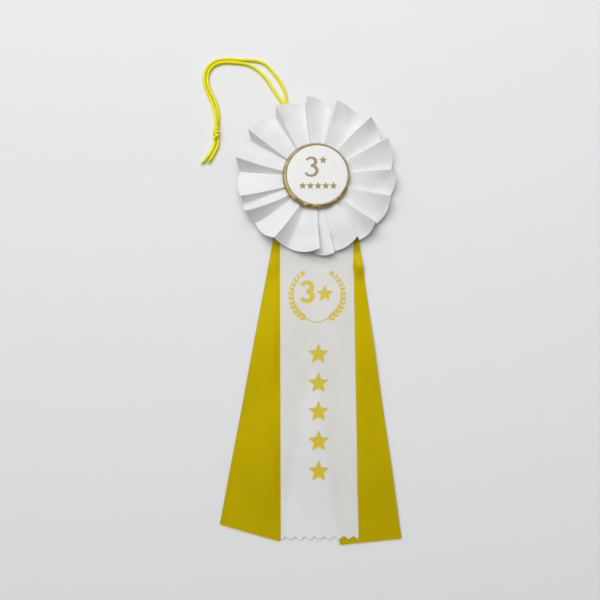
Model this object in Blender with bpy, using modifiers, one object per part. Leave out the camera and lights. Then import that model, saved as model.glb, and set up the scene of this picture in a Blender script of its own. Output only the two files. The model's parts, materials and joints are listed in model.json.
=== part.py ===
"""Award ribbon: a pleated rosette with a button, three streamers and a hanging cord.

It lies on its back: the table is z = 0, the front faces +Z and the streamers run along -Y.
The origin is the centre of the back card's rear face. Lengths here are in millimetres and
are turned into metres, Blender's unit, by the helpers that make the meshes.
"""

import math

import bmesh
import bpy
from mathutils import Vector

MM = 0.001
GAP = 0.3
SHARP_ANGLE = 30.0

# Driving dimensions, in millimetres.
WIRE = 0.5
RIBBON_THICKNESS = 0.3

BACK_CARD_RADIUS = 30.0
BACK_CARD_THICKNESS = 0.6
BASE_CARD_RADIUS = 32.0
BASE_CARD_BOTTOM = 4.0
BASE_CARD_TOP = 5.0

# The rosette's 15 knife pleats: the direction of each raised fold, in degrees from +X.
PLEAT_FOLDS = (4, 28, 48, 75, 99, 119, 145, 168, 195, 210, 240, 272, 303, 319, 343)
# Radius, height of the folded-down edge, height of the raised fold.
PLEAT_ROWS = (
    (15.5, 5.8, 6.3),
    (22.0, 5.8, 6.8),
    (33.0, 5.8, 8.6),
    (45.0, 5.2, 10.6),
    (55.5, 4.6, 12.0),
)
RETURN_SHARE_INSIDE = 0.12
RETURN_SHARE_OUTSIDE = 0.30
PLEAT_THICKNESS = 0.35

THREAD_RADIUS = 18.0
THREAD_DIAMETER = 0.6
THREAD_HEIGHT = 7.2

BUTTON_RADIUS = 22.85
BUTTON_BOTTOM = 7.8
BUTTON_HEIGHT = 2.6
FACE_RADIUS = 20.2
FACE_THICKNESS = 0.4
FACE_RECESS = 0.1
LIP_RADIUS = 20.5
RIM_WALL = 0.85
CORE_RADIUS = 19.6
PLATE_RADIUS = 21.2
PLATE_THICKNESS = 0.6

STREAMER_START = -3.0
CARD_EDGE = 33.0
LANDED = 55.0
RIM_CREASE = 58.5
SIDE_CREASE = 119.0
CREASE_GAP = 0.3
TAIL_DROP = 28.0
NOTCH_DEPTH = 2.0

# Each streamer: where its centreline meets the X axis, its heading in degrees from -Y,
# its width, its height between the cards and on the table, its crease, the lengths of
# its left and right edges from the X axis, and the number of notches along its end.
STREAMERS = {
    "left_streamer": (-1.5, -10.1, 40.0, 1.7, 0.0, SIDE_CREASE, 237.3, 240.8, 0),
    "right_streamer": (3.7, 7.3, 40.0, 2.45, 0.6, SIDE_CREASE, 242.2, 243.5, 0),
    "centre_streamer": (0.0, 0.4, 50.0, 3.2, 1.2, RIM_CREASE, 239.5, 239.5, 8),
}

STREAMER_STAPLE = (0.0, -9.0, 10.0)
CORD_STAPLE = (-0.2, 9.5, 9.2)
STAPLE_CROWN = 1.15
STAPLE_CLINCH = 5.55

CORD_DIAMETER = 2.0
PAIR_SPACING = 2.4
ON_TABLE = 1.1
BETWEEN_CARDS = 2.7

# The cord's route, seen from the front: the hidden loop under the staple, the two
# strands out from under the rosette, and the stretch where they lie side by side.
CORD_BIGHT = (
    (-12.0, 31.0), (-9.6, 26.0), (-6.6, 20.0), (-3.9, 14.5), (-2.7, 10.5),
    (-2.3, 7.8), (-0.2, 6.2), (1.9, 7.8), (2.3, 10.5), (1.2, 14.5),
    (-1.6, 20.0), (-5.0, 26.0), (-7.6, 31.5),
)
INNER_LEAD = (
    (-12.3, 31.6, 2.7), (-15.6, 37.6, 2.0), (-19.6, 46.0, 1.3), (-24.2, 56.9, ON_TABLE),
    (-27.9, 62.6, ON_TABLE), (-31.4, 68.2, ON_TABLE), (-35.1, 73.9, ON_TABLE),
    (-39.2, 78.6, ON_TABLE), (-43.7, 82.2, ON_TABLE), (-48.2, 84.4, ON_TABLE),
)
OUTER_LEAD = (
    (-7.8, 32.1, 2.7), (-12.0, 38.4, 2.0), (-16.8, 47.0, 1.3), (-20.6, 56.9, ON_TABLE),
    (-21.1, 61.4, ON_TABLE), (-22.9, 67.3, ON_TABLE), (-26.3, 73.4, ON_TABLE),
    (-30.8, 79.6, ON_TABLE), (-35.6, 84.6, ON_TABLE), (-41.0, 87.0, ON_TABLE),
    (-47.4, 87.7, ON_TABLE),
)
PAIR_ROUTE = (
    (-54.0, 86.7), (-60.7, 87.3), (-67.2, 87.0), (-72.8, 84.6), (-76.4, 80.3),
    (-77.7, 75.0), (-77.3, 69.6), (-75.4, 64.2), (-72.9, 58.9), (-70.8, 53.6),
    (-69.4, 48.2), (-68.9, 43.0), (-69.0, 38.0),
)
# How far the pair has rolled over, in degrees, at its last points, counted from the knot.
PAIR_ROLLS = (66.0, 60.0, 42.0, 18.0)
KNOT_CENTRE = (-69.4, 32.8, 2.5)
KNOT_HALF_SIZE = (2.7, 4.1, 2.4)
INNER_TAIL = ((-68.2, 27.6), (-68.8, 23.2), (-71.2, 18.2), (-73.7, 13.4))
OUTER_TAIL = ((-70.6, 27.6), (-71.4, 23.2), (-74.6, 17.6), (-78.2, 12.4))

WHITE_SATIN = ("white_satin", (0.80, 0.81, 0.80), 0.55, 0.0)
YELLOW_SATIN = ("yellow_satin", (0.47, 0.37, 0.01), 0.42, 0.0)
YELLOW_CORD = ("yellow_cord", (0.75, 0.69, 0.02), 0.70, 0.0)
GREY_BOARD = ("grey_board", (0.42, 0.40, 0.36), 0.90, 0.0)
PRINTED_CARD = ("printed_card", (0.85, 0.85, 0.83), 0.45, 0.0)
GOLD_FOIL = ("gold_foil", (0.55, 0.35, 0.11), 0.32, 1.0)
STAPLE_WIRE = ("staple_wire", (0.60, 0.60, 0.62), 0.30, 1.0)
HOT_GLUE = ("hot_glue", (0.80, 0.76, 0.62), 0.35, 0.0)
THREAD = ("thread", (0.82, 0.82, 0.80), 0.70, 0.0)


def clear_scene():
    for old in list(bpy.data.objects):
        bpy.data.objects.remove(old)


def new_collection(name):
    made = bpy.data.collections.new(name)
    bpy.context.scene.collection.children.link(made)
    return made


def material(recipe):
    name, colour, roughness, metallic = recipe
    found = bpy.data.materials.get(name)
    if found:
        return found
    made = bpy.data.materials.new(name)
    made.use_nodes = True
    shader = made.node_tree.nodes["Principled BSDF"]
    shader.inputs["Base Color"].default_value = (*colour, 1.0)
    shader.inputs["Roughness"].default_value = roughness
    shader.inputs["Metallic"].default_value = metallic
    made.diffuse_color = (*colour, 1.0)
    return made


def adopt(made, name, recipe):
    """Names a new object, gives it its material and moves it to the part's collection."""
    made.name = name
    for home in list(made.users_collection):
        home.objects.unlink(made)
    bpy.data.collections["award_ribbon"].objects.link(made)
    made.data.materials.append(material(recipe))
    if made.type == "MESH":
        made.data.shade_smooth()
        made.data.set_sharp_from_angle(angle=math.radians(SHARP_ANGLE))
    return made


def mesh_object(name, mesh_in_mm, recipe):
    """A new object from a bmesh whose points are in millimetres."""
    bmesh.ops.scale(mesh_in_mm, vec=(MM, MM, MM), verts=mesh_in_mm.verts)
    data = bpy.data.meshes.new(name)
    mesh_in_mm.to_mesh(data)
    mesh_in_mm.free()
    return adopt(bpy.data.objects.new(name, data), name, recipe)


def disc(name, radius, bottom, top, recipe):
    bpy.ops.mesh.primitive_cylinder_add(
        vertices=72,
        radius=radius * MM,
        depth=(top - bottom) * MM,
        location=(0.0, 0.0, (top + bottom) / 2 * MM),
    )
    return adopt(bpy.context.object, name, recipe)


def turned(name, profile, recipe, closed, centre=(0.0, 0.0)):
    """A shape turned about Z from (radius, height) points that run down its outer side."""
    data = bpy.data.meshes.new(name)
    points = [(radius * MM, 0.0, height * MM) for radius, height in profile]
    edges = [(i, i + 1) for i in range(len(points) - 1)]
    if closed:
        edges.append((len(points) - 1, 0))
    data.from_pydata(points, edges, [])
    made = adopt(bpy.data.objects.new(name, data), name, recipe)
    made.location = (centre[0] * MM, centre[1] * MM, 0.0)
    screw = made.modifiers.new("turn", "SCREW")
    screw.steps = 72
    screw.render_steps = 72
    screw.use_merge_vertices = True
    screw.merge_threshold = 0.00001
    screw.use_normal_calculate = False
    return made


def smooth_route(route, spacing):
    """Points about a spacing apart on a smooth curve through the route's own points."""
    ends = [route[0] * 2 - route[1]] + list(route) + [route[-1] * 2 - route[-2]]
    found = []
    for before, start, end, after in zip(ends, ends[1:], ends[2:], ends[3:]):
        steps = max(1, round((end - start).length / spacing))
        for k in range(steps):
            t = k / steps
            bend = (before * 2 - start * 5 + end * 4 - after) * t * t
            twist = (start * 3 - before - end * 3 + after) * t ** 3
            found.append((start * 2 + (end - before) * t + bend + twist) / 2)
    return found + [route[-1]]


def tube(name, points, diameter, recipe):
    """A closed wire along the points: a poly curve with a round bevel and filled caps."""
    data = bpy.data.curves.new(name, "CURVE")
    data.dimensions = "3D"
    data.bevel_depth = diameter / 2 * MM
    data.bevel_resolution = 2
    data.use_fill_caps = True
    spline = data.splines.new("POLY")
    spline.points.add(len(points) - 1)
    for knot, place in zip(spline.points, points):
        knot.co = (*(place * MM), 1.0)
    return adopt(bpy.data.objects.new(name, data), name, recipe)


def staple_legs(staple):
    x, y, width = staple
    return [(x - width / 2, y), (x + width / 2, y)]


def leg_cutters(name, staples):
    """Upright round cutters where the staples' legs go through, joined as one object."""
    holes = bmesh.new()
    for staple in staples:
        for x, y in staple_legs(staple):
            made = bmesh.ops.create_cone(
                holes,
                cap_ends=True,
                segments=12,
                radius1=WIRE / 2 + GAP,
                radius2=WIRE / 2 + GAP,
                depth=12.0,
            )
            bmesh.ops.translate(holes, vec=(x, y, 3.0), verts=made["verts"])
    bmesh.ops.scale(holes, vec=(MM, MM, MM), verts=holes.verts)
    data = bpy.data.meshes.new(name)
    holes.to_mesh(data)
    holes.free()
    cutter = bpy.data.objects.new(name, data)
    bpy.data.collections["cutters"].objects.link(cutter)
    cutter.hide_render = True
    cutter.display_type = "WIRE"
    return cutter


def cut(made, cutter):
    boolean = made.modifiers.new("staple_holes", "BOOLEAN")
    boolean.operation = "DIFFERENCE"
    boolean.solver = "EXACT"
    boolean.object = cutter


def make_cards(holes):
    disc("back_card", BACK_CARD_RADIUS, 0.0, BACK_CARD_THICKNESS, GREY_BOARD)
    base = disc("base_card", BASE_CARD_RADIUS, BASE_CARD_BOTTOM, BASE_CARD_TOP, GREY_BOARD)
    cut(base, holes)


def pleat_angles(share):
    """Directions of the raised folds and the folded-down edges, in turn round the ring."""
    found = []
    for this, following in zip(PLEAT_FOLDS, PLEAT_FOLDS[1:] + (PLEAT_FOLDS[0] + 360,)):
        found.append((this, True))
        found.append((this + share * (following - this), False))
    return found


def make_pleats():
    """Zigzag ring: a long panel rises to each fold and a short return drops behind it."""
    ring = bmesh.new()
    inside, outside = PLEAT_ROWS[0][0], PLEAT_ROWS[-1][0]
    rows = []
    for radius, low, high in PLEAT_ROWS:
        reach = (radius - inside) / (outside - inside)
        share = RETURN_SHARE_INSIDE + (RETURN_SHARE_OUTSIDE - RETURN_SHARE_INSIDE) * reach
        row = []
        for direction, raised in pleat_angles(share):
            angle = math.radians(direction)
            height = high if raised else low
            row.append(ring.verts.new((radius * math.cos(angle), radius * math.sin(angle), height)))
        rows.append(row)
    for inner, outer in zip(rows, rows[1:]):
        for k in range(len(inner)):
            following = (k + 1) % len(inner)
            ring.faces.new((inner[k], outer[k], outer[following], inner[following]))
    lower = bmesh.ops.extrude_face_region(ring, geom=ring.faces[:])
    lowered = [item for item in lower["geom"] if isinstance(item, bmesh.types.BMVert)]
    bmesh.ops.translate(ring, vec=(0.0, 0.0, -PLEAT_THICKNESS), verts=lowered)
    bmesh.ops.triangulate(ring, faces=ring.faces[:])
    bmesh.ops.recalc_face_normals(ring, faces=ring.faces[:])
    return mesh_object("pleated_rosette", ring, WHITE_SATIN)


def make_gathering_thread():
    bpy.ops.mesh.primitive_torus_add(
        major_radius=THREAD_RADIUS * MM,
        minor_radius=THREAD_DIAMETER / 2 * MM,
        major_segments=60,
        minor_segments=8,
        location=(0.0, 0.0, THREAD_HEIGHT * MM),
    )
    return adopt(bpy.context.object, "gathering_thread", THREAD)


def quarter_round(inner_radius, outer_radius, bottom, top):
    """Points that run from a level top edge out and down to an upright bottom edge."""
    turns = [math.radians(15.0 * k) for k in range(7)]
    return [
        (
            inner_radius + (outer_radius - inner_radius) * math.sin(turn),
            bottom + (top - bottom) * math.cos(turn),
        )
        for turn in turns
    ]


def make_button():
    """A backing plate, a core and the printed face, held in a rounded gold rim."""
    top = BUTTON_BOTTOM + BUTTON_HEIGHT
    outside = quarter_round(LIP_RADIUS, BUTTON_RADIUS, BUTTON_BOTTOM, top)
    inside = quarter_round(LIP_RADIUS, BUTTON_RADIUS - RIM_WALL, BUTTON_BOTTOM, top - RIM_WALL)
    turned("button_rim", outside + inside[::-1], GOLD_FOIL, closed=True)
    face_top = top - FACE_RECESS
    face_bottom = face_top - FACE_THICKNESS
    plate_top = BUTTON_BOTTOM + PLATE_THICKNESS
    disc("button_face", FACE_RADIUS, face_bottom, face_top, PRINTED_CARD)
    disc("button_core", CORE_RADIUS, plate_top + GAP, face_bottom - GAP, GREY_BOARD)
    disc("button_back", PLATE_RADIUS, BUTTON_BOTTOM, plate_top, GREY_BOARD)


def glue_pad(name, radius, bottom, top, centre):
    """A hot-melt blob pressed flat between two faces, with a bulging side."""
    middle = (bottom + top) / 2
    profile = [(0.0, top), (radius * 0.9, top), (radius, middle), (radius * 0.9, bottom), (0.0, bottom)]
    turned(name, profile, HOT_GLUE, closed=False, centre=centre)


def make_glue():
    glue_pad("button_glue", 6.5, BASE_CARD_TOP + GAP, BUTTON_BOTTOM - GAP, (0.0, 0.0))
    between = (BACK_CARD_THICKNESS + GAP, BASE_CARD_BOTTOM - GAP)
    glue_pad("card_glue_left", 6.0, *between, (-18.0, 15.0))
    glue_pad("card_glue_right", 6.0, *between, (18.0, 15.0))


def make_staple(name, staple):
    """Crown behind the ribbons, legs through the base card, ends bent in on its front."""
    x, y, width = staple
    left, right = x - width / 2, x + width / 2
    bent = width * 0.32
    points = [
        Vector((left + bent, y, STAPLE_CLINCH)),
        Vector((left, y, STAPLE_CLINCH)),
        Vector((left, y, STAPLE_CROWN)),
        Vector((right, y, STAPLE_CROWN)),
        Vector((right, y, STAPLE_CLINCH)),
        Vector((right - bent, y, STAPLE_CLINCH)),
    ]
    tube(name, points, WIRE, STAPLE_WIRE)


def fall(held_height, rest_height, behind):
    """A streamer's height at a distance behind the X axis: it falls from the cards to the table."""
    share = min(max((behind - CARD_EDGE) / (LANDED - CARD_EDGE), 0.0), 1.0)
    eased = share * share * (3.0 - 2.0 * share)
    return held_height + (rest_height - held_height) * eased


def ribbon_strip(name, streamer, distances, height_at, end_cut, recipe):
    """A flat strip of ribbon through rows at the given distances along a streamer.

    height_at gives the height of a point from its distance behind the X axis. end_cut
    holds the lengths of the left and right edges and the number of notches along the
    far end, or is None where that end is square.
    """
    foot, heading, width = streamer[:3]
    notches = end_cut[2] if end_cut else 0
    columns = 2 * notches if notches else 4
    last_row = len(distances) - 1
    strip = bmesh.new()
    bmesh.ops.create_grid(strip, x_segments=columns, y_segments=last_row, size=0.5)
    angle = math.radians(heading)
    along = Vector((math.sin(angle), -math.cos(angle), 0.0))
    across = Vector((math.cos(angle), math.sin(angle), 0.0))
    for vertex in strip.verts:
        column = round((vertex.co.x + 0.5) * columns)
        row = round((0.5 - vertex.co.y) * last_row)
        distance = distances[row]
        if end_cut and row == last_row:
            left, right, _ = end_cut
            distance = left + (right - left) * column / columns
            if notches and column % 2 == 1:
                distance -= NOTCH_DEPTH
        place = Vector((foot, 0.0, 0.0)) + along * distance
        place += across * (column / columns - 0.5) * width
        place.z = height_at(-place.y)
        vertex.co = place
    lower = bmesh.ops.extrude_face_region(strip, geom=strip.faces[:])
    raised = [item for item in lower["geom"] if isinstance(item, bmesh.types.BMVert)]
    bmesh.ops.translate(strip, vec=(0.0, 0.0, RIBBON_THICKNESS), verts=raised)
    bmesh.ops.triangulate(strip, faces=strip.faces[:])
    bmesh.ops.recalc_face_normals(strip, faces=strip.faces[:])
    return mesh_object(name, strip, recipe)


def make_streamer(name, holes):
    """The part held by the cards as far as the crease, and the tail beyond it."""
    streamer = STREAMERS[name]
    held_height, rest_height, crease, left_edge, right_edge, notches = streamer[3:]
    recipe = WHITE_SATIN if notches else YELLOW_SATIN

    def height_at(behind):
        return fall(held_height, rest_height, behind)

    def tail_height_at(behind):
        share = min(max((behind - crease) / TAIL_DROP, 0.0), 1.0)
        return rest_height * (1.0 - share) if name == "right_streamer" else rest_height

    slope_rows = [CARD_EDGE + k * (LANDED - CARD_EDGE) / 6 for k in range(7)]
    square_end = crease - CREASE_GAP
    held = ribbon_strip(
        name + "_top", streamer, [STREAMER_START] + slope_rows + [square_end],
        height_at, None, recipe,
    )
    cut(held, holes)
    tail_rows = [crease + CREASE_GAP, crease + TAIL_DROP, left_edge - 6.0, left_edge]
    end_cut = (left_edge, right_edge, notches)
    ribbon_strip(name + "_tail", streamer, tail_rows, tail_height_at, end_cut, recipe)


def paired_route(route, left_hand):
    """One strand of the pair: beside the route, and stacked on the other near the knot."""
    found = []
    for k, place in enumerate(route):
        before, after = route[max(k - 1, 0)], route[min(k + 1, len(route) - 1)]
        ahead = Vector((after[0] - before[0], after[1] - before[1], 0.0)).normalized()
        aside = Vector((-ahead.y, ahead.x, 0.0)) * (1.0 if left_hand else -1.0)
        to_knot = len(route) - 1 - k
        roll = PAIR_ROLLS[to_knot] if to_knot < len(PAIR_ROLLS) else 0.0
        lift = 0.0 if left_hand else PAIR_SPACING * math.sin(math.radians(roll))
        apart = PAIR_SPACING / 2 * math.cos(math.radians(roll))
        found.append(Vector((place[0], place[1], ON_TABLE + lift)) + aside * apart)
    return found


def make_cord():
    """One doubled cord: its hidden loop, two strands to an overhand knot, and two tails."""
    bight = [Vector((x, y, BETWEEN_CARDS)) for x, y in CORD_BIGHT]
    tube("cord_bight", smooth_route(bight, 3.0), CORD_DIAMETER, YELLOW_CORD)
    strands = (
        ("cord_strand_inner", INNER_LEAD, True),
        ("cord_strand_outer", OUTER_LEAD, False),
    )
    for name, lead, left_hand in strands:
        route = [Vector(place) for place in lead] + paired_route(PAIR_ROUTE, left_hand)
        tube(name, smooth_route(route, 4.5), CORD_DIAMETER, YELLOW_CORD)
    for name, route in (("cord_tail_inner", INNER_TAIL), ("cord_tail_outer", OUTER_TAIL)):
        points = [Vector((x, y, ON_TABLE)) for x, y in route]
        tube(name, smooth_route(points, 3.0), CORD_DIAMETER, YELLOW_CORD)
    knot = bmesh.new()
    bmesh.ops.create_uvsphere(knot, u_segments=20, v_segments=12, radius=1.0)
    bmesh.ops.scale(knot, vec=KNOT_HALF_SIZE, verts=knot.verts)
    bmesh.ops.translate(knot, vec=KNOT_CENTRE, verts=knot.verts)
    mesh_object("cord_knot", knot, YELLOW_CORD)


def main():
    clear_scene()
    new_collection("award_ribbon")
    new_collection("cutters")
    streamer_holes = leg_cutters("streamer_staple_holes", [STREAMER_STAPLE])
    card_holes = leg_cutters("card_staple_holes", [STREAMER_STAPLE, CORD_STAPLE])
    make_cards(card_holes)
    for name in STREAMERS:
        make_streamer(name, streamer_holes)
    make_staple("streamer_staple", STREAMER_STAPLE)
    make_staple("cord_staple", CORD_STAPLE)
    make_pleats()
    make_gathering_thread()
    make_glue()
    make_button()
    make_cord()


main()
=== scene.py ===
"""Award ribbon: its finished surfaces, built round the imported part, which stays a fixed frame.

The ribbon lies face up on a pale table just under z = 0 and its streamers run along -Y.
Lengths and routes here are in millimetres, and the helpers that make meshes turn them into
metres. Only the lamp and the dark screen are placed in metres.
"""

import json
import math
import random
from collections import Counter, namedtuple

import bpy
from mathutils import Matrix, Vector, noise


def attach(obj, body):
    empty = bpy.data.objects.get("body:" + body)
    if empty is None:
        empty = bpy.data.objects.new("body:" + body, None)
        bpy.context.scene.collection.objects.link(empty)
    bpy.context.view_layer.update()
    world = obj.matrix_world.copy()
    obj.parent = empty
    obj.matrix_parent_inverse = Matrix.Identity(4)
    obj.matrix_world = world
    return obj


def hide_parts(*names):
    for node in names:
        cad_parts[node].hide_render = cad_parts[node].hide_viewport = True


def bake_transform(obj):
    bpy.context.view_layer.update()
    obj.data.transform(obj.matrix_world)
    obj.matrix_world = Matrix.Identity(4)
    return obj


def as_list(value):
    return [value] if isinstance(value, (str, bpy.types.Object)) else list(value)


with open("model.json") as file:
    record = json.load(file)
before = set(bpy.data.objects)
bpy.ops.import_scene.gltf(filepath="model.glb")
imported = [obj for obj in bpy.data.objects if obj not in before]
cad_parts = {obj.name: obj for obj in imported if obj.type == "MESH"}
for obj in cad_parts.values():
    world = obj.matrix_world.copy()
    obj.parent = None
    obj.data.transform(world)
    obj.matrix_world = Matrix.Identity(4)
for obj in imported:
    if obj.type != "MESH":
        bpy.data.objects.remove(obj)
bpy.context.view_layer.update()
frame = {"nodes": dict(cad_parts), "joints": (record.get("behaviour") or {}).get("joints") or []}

MM = 0.001
SEED = 11
TABLE_HEIGHT = -0.1

# The camera looks down at the middle of the ribbon, tipped a little towards its top.
CAMERA_PLACE = (-11.0, -132.9, 397.0)
CAMERA_TILT = 7.0
CAMERA_LENS = 35.4

# The sun lamps' spread, in degrees: wide ones give soft shadows.
DAYLIGHT_SPREAD = 55.0

# The cord: its diameter as in the part, the length of one turn of its three yarns, and the
# factor that brings their lobed outline up to that diameter.
CORD_DIAMETER = 2.0
CORD_LAY = 5.2
YARN_FULLNESS = 1.2
RING_POINTS = 18
CORD_STEP = 0.6

# The cord's route, as in the part: the doubled cord under the rosette, the leads of its two
# strands out to where they pair up, and the pair's centreline to the knot.
PAIR_SPACING = 2.4
ON_TABLE = 1.1
BETWEEN_CARDS = 2.7
CORD_BIGHT = (
    (-12.0, 31.0), (-9.6, 26.0), (-6.6, 20.0), (-3.9, 14.5), (-2.7, 10.5),
    (-2.3, 7.8), (-0.2, 6.2), (1.9, 7.8), (2.3, 10.5), (1.2, 14.5),
    (-1.6, 20.0), (-5.0, 26.0), (-7.6, 31.5),
)
INNER_LEAD = (
    (-12.3, 31.6, 2.7), (-15.6, 37.6, 2.0), (-19.6, 46.0, 1.3), (-24.2, 56.9, ON_TABLE),
    (-27.9, 62.6, ON_TABLE), (-31.4, 68.2, ON_TABLE), (-35.1, 73.9, ON_TABLE),
    (-39.2, 78.6, ON_TABLE), (-43.7, 82.2, ON_TABLE), (-48.2, 84.4, ON_TABLE),
)
OUTER_LEAD = (
    (-7.8, 32.1, 2.7), (-12.0, 38.4, 2.0), (-16.8, 47.0, 1.3), (-20.6, 56.9, ON_TABLE),
    (-21.1, 61.4, ON_TABLE), (-22.9, 67.3, ON_TABLE), (-26.3, 73.4, ON_TABLE),
    (-30.8, 79.6, ON_TABLE), (-35.6, 84.6, ON_TABLE), (-41.0, 87.0, ON_TABLE),
    (-47.4, 87.7, ON_TABLE),
)
PAIR_ROUTE = (
    (-54.0, 86.7), (-60.7, 87.3), (-67.2, 87.0), (-72.8, 84.6), (-76.4, 80.3),
    (-77.7, 75.0), (-77.3, 69.6), (-75.4, 64.2), (-72.9, 58.9), (-70.8, 53.6),
    (-69.4, 48.2), (-68.9, 43.0), (-69.0, 38.0),
)
# How far the pair has rolled over, in degrees, at its last points, counted from the knot.
PAIR_ROLLS = (66.0, 60.0, 42.0, 18.0)
KNOT_CENTRE = Vector((-69.4, 32.8, 2.5))
KNOT_TURNS = 1.35
KNOT_RADIUS = 1.4
KNOT_END_SHARE = 0.72
KNOT_LENGTH = 7.0
WRAP_POINTS = 14
WRAP_STEP = 0.45
# Inside the knot the strands end this far before its centre, and the tails start past it.
INSIDE_KNOT = Vector((0.0, 1.5, 0.0))
INNER_TAIL = ((-68.2, 27.6), (-68.8, 23.2), (-71.2, 18.2), (-73.7, 13.4))
OUTER_TAIL = ((-70.6, 27.6), (-71.4, 23.2), (-74.6, 17.6), (-78.2, 12.4))
FRAY_FIBRES = 22
FIBRE_RADIUS = 0.09
FIBRE_LOWEST = 0.15

# Each streamer, as in the part: where its centreline meets the X axis, its heading in
# degrees from -Y, its width, its height between the cards, its height on the table, the
# lengths of its left and right edges from the X axis, and the notches along its end.
Streamer = namedtuple("Streamer", "foot heading width held resting left right notches")
STREAMERS = {
    "left": Streamer(-1.5, -10.1, 40.0, 1.95, 0.25, 237.3, 240.8, 0),
    "right": Streamer(3.7, 7.3, 40.0, 2.70, 0.60, 242.2, 243.5, 0),
    "centre": Streamer(0.0, 0.4, 50.0, 3.45, 0.95, 239.5, 239.5, 8),
}
STREAMER_START = -3.0
STREAMER_STEP = 2.4
STREAMER_COLUMNS = 22
COLUMNS_PER_NOTCH = 4
NOTCH_DEPTH = 2.0
# The share of a streamer's length past which its rows follow the notches.
NOTCHED_FROM = 0.97
# How far from the X axis the streamers leave the cards, and where they lie on the table.
CARD_EDGE = 33.0
LANDED = 62.0
RIBBON_THICKNESS = 0.18

# The lying ribbons' waves, at distances from the X axis: where they set in, their length and
# height, the height of the uneven slack, and the curl at the lower left.
WAVES_SET_IN = (45.0, 85.0)
WAVES_FROM = 60.0
WAVE_LENGTH = 78.0
WAVE_HEIGHT = 0.225
SLACK_HEIGHT = 0.25
CURL_SETS_IN = (205.0, 240.0)
CURL_ACROSS = (8.0, 33.0)
CURL_HEIGHT = 0.6
# The yellow streamers' own waves, only where they show beside the white one: a crest just
# past the rosette and one long swell.
SHOWN_BESIDE = (24.6, 28.2)
CREST_AT = 61.0
CREST_WIDTH = 5.6
CREST_HEIGHTS = {"left": 0.7, "right": 3.0}
SWELL_SETS_IN = (80.0, 110.0)
SWELL_AT = 122.0
SWELL_LENGTH = 80.0
SWELL_HEIGHT = 0.4

# The ribbons' cloth: the spacing of its ribs and yarns, where its firm edge sets in and is
# full, counted from its side, and the length over which painted shade darkens a yellow streamer.
RIB_SPACING = 0.42
YARN_SPACING = 0.30
HEM_SETS_IN = 1.1
HEM_FULL = 0.8
END_SHADE_OVER = (120.0, 240.0)

# The pleats: each raised fold's direction at the rim and at the gathering thread, how far
# its underfold opens at the rim (tucked under where it is less than 0), its height and
# its distance from the centre there.
PLEATS = (
    (4.0, 6.0, 3.0, 11.0, 53.7), (28.0, 28.0, 3.0, 11.2, 55.7), (47.0, 52.0, 4.5, 12.0, 55.2),
    (74.5, 75.5, 4.5, 11.4, 54.7), (96.0, 100.0, 2.0, 10.8, 56.6), (119.0, 124.0, 3.0, 11.4, 56.2),
    (145.5, 148.7, 3.0, 12.2, 56.2), (167.7, 171.5, 6.5, 12.2, 55.9), (196.0, 200.0, 3.0, 10.8, 53.2),
    (208.5, 217.0, 8.0, 12.2, 53.0), (237.0, 242.5, 9.5, 12.4, 52.2), (272.5, 271.0, -4.0, 11.2, 51.0),
    (283.0, 284.0, -2.5, 6.6, 54.2), (303.0, 307.6, 1.0, 10.8, 50.6), (320.0, 317.0, 2.0, 12.0, 51.6),
    (343.5, 340.4, 2.0, 11.4, 52.4),
)
PLEAT_INSIDE = 15.5
PLEAT_RIM = 55.5
UNDERFOLD_RIM = 52.4
PLEAT_FLOOR_INSIDE = 5.8
PLEAT_FLOOR_RIM = 3.4
PLEAT_TOP_INSIDE = 6.9
# How deep the underfolds are tucked at the thread, and the share of the way from the thread
# to the rim over which the tuck ends. The button hides it.
PLEAT_TUCK = 6.0
UNDER_BUTTON = 0.2
# The pleats dip only past the edge of the base card they rest on.
PAST_CARD = 0.42
PLEAT_STEPS_OUT = 30
PANEL_STEPS = 10
RETURN_STEPS = 7
PLEAT_THICKNESS = 0.16
# The pleated ribbon's weave is a hair wider than its span from the thread to the rim.
PLEAT_WEAVE_WIDTH = 40.2
# The pleats' cloth at the rim: how far a panel bows outward, how hollow and how crowned it
# is, how hollow the return under a fold is, and the sizes of its soft and fine unevenness.
PANEL_BOW = 1.3
PANEL_HOLLOW = 0.9
PANEL_CROWN = 0.5
RETURN_HOLLOW = 0.8
SOFT_UNEVENNESS = (1.2, 11.0)
FINE_UNEVENNESS = (0.3, 4.5)
SHARP_FOLD = 42.0

# The button: its foil rim is wider where the printed card sits off centre.
BUTTON_RADIUS = 22.85
CARD_CENTRE = (0.6, 0.4)
CARD_RADIUS = 20.6
CARD_TOP = 10.3
CARD_CROWN = 0.15
CARD_THICKNESS = 0.3
CARD_RINGS = (CARD_RADIUS + 0.25, CARD_RADIUS, 18.0, 15.0, 11.0, 7.0, 3.5, 0.8)
CARD_STEPS = 96
RIM_STEPS = 216
RIM_POINT_SPACING = 0.28
# The foil is most creased in this direction. CREASES is the least and the added creasing.
CREASED_SIDE = -62.0
CREASES = (0.10, 0.8)
CREASE_OUT = 0.5
CREASE_UP = 0.6

# The prints. A number is placed by its x, y, height and the share of it that its pen is
# wide, and a star by its x, y and radius. The wreath's branches follow an oval round the
# number. Their leaves' turns are in degrees above level, and their leans off the branch.
INK_LIFT = 0.09
INK_THICKNESS = 0.07
WREATH_CENTRE = (0.6, -80.8)
WREATH_HALF_WIDTH = 17.6
WREATH_HALF_HEIGHT = 17.7
LEAF_LENGTH = 4.1
LEAF_WIDTH = 2.0
LEAF_PAIRS = 12
LEAF_TURNS = (-64.0, 51.0)
LEAF_SIZES = (1.1, 0.74)
LEAF_LEANS = (-33.0, 31.0)
END_LEAF_TURN = 55.0
END_LEAF_LEAN = 44.0
END_LEAF_SIZE = 0.7
STALK_TURNS = (-118.0, -62.0)
STALK_STEPS = 16
STALK_SAG = 0.9
STALK_SAG_OVER = 24.0
STALK_WIDTH = 0.5
STREAMER_NUMBER = (-6.5, -78.6, 16.0, 0.20)
STREAMER_SMALL_STAR = (5.7, -80.0, 5.9)
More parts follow.
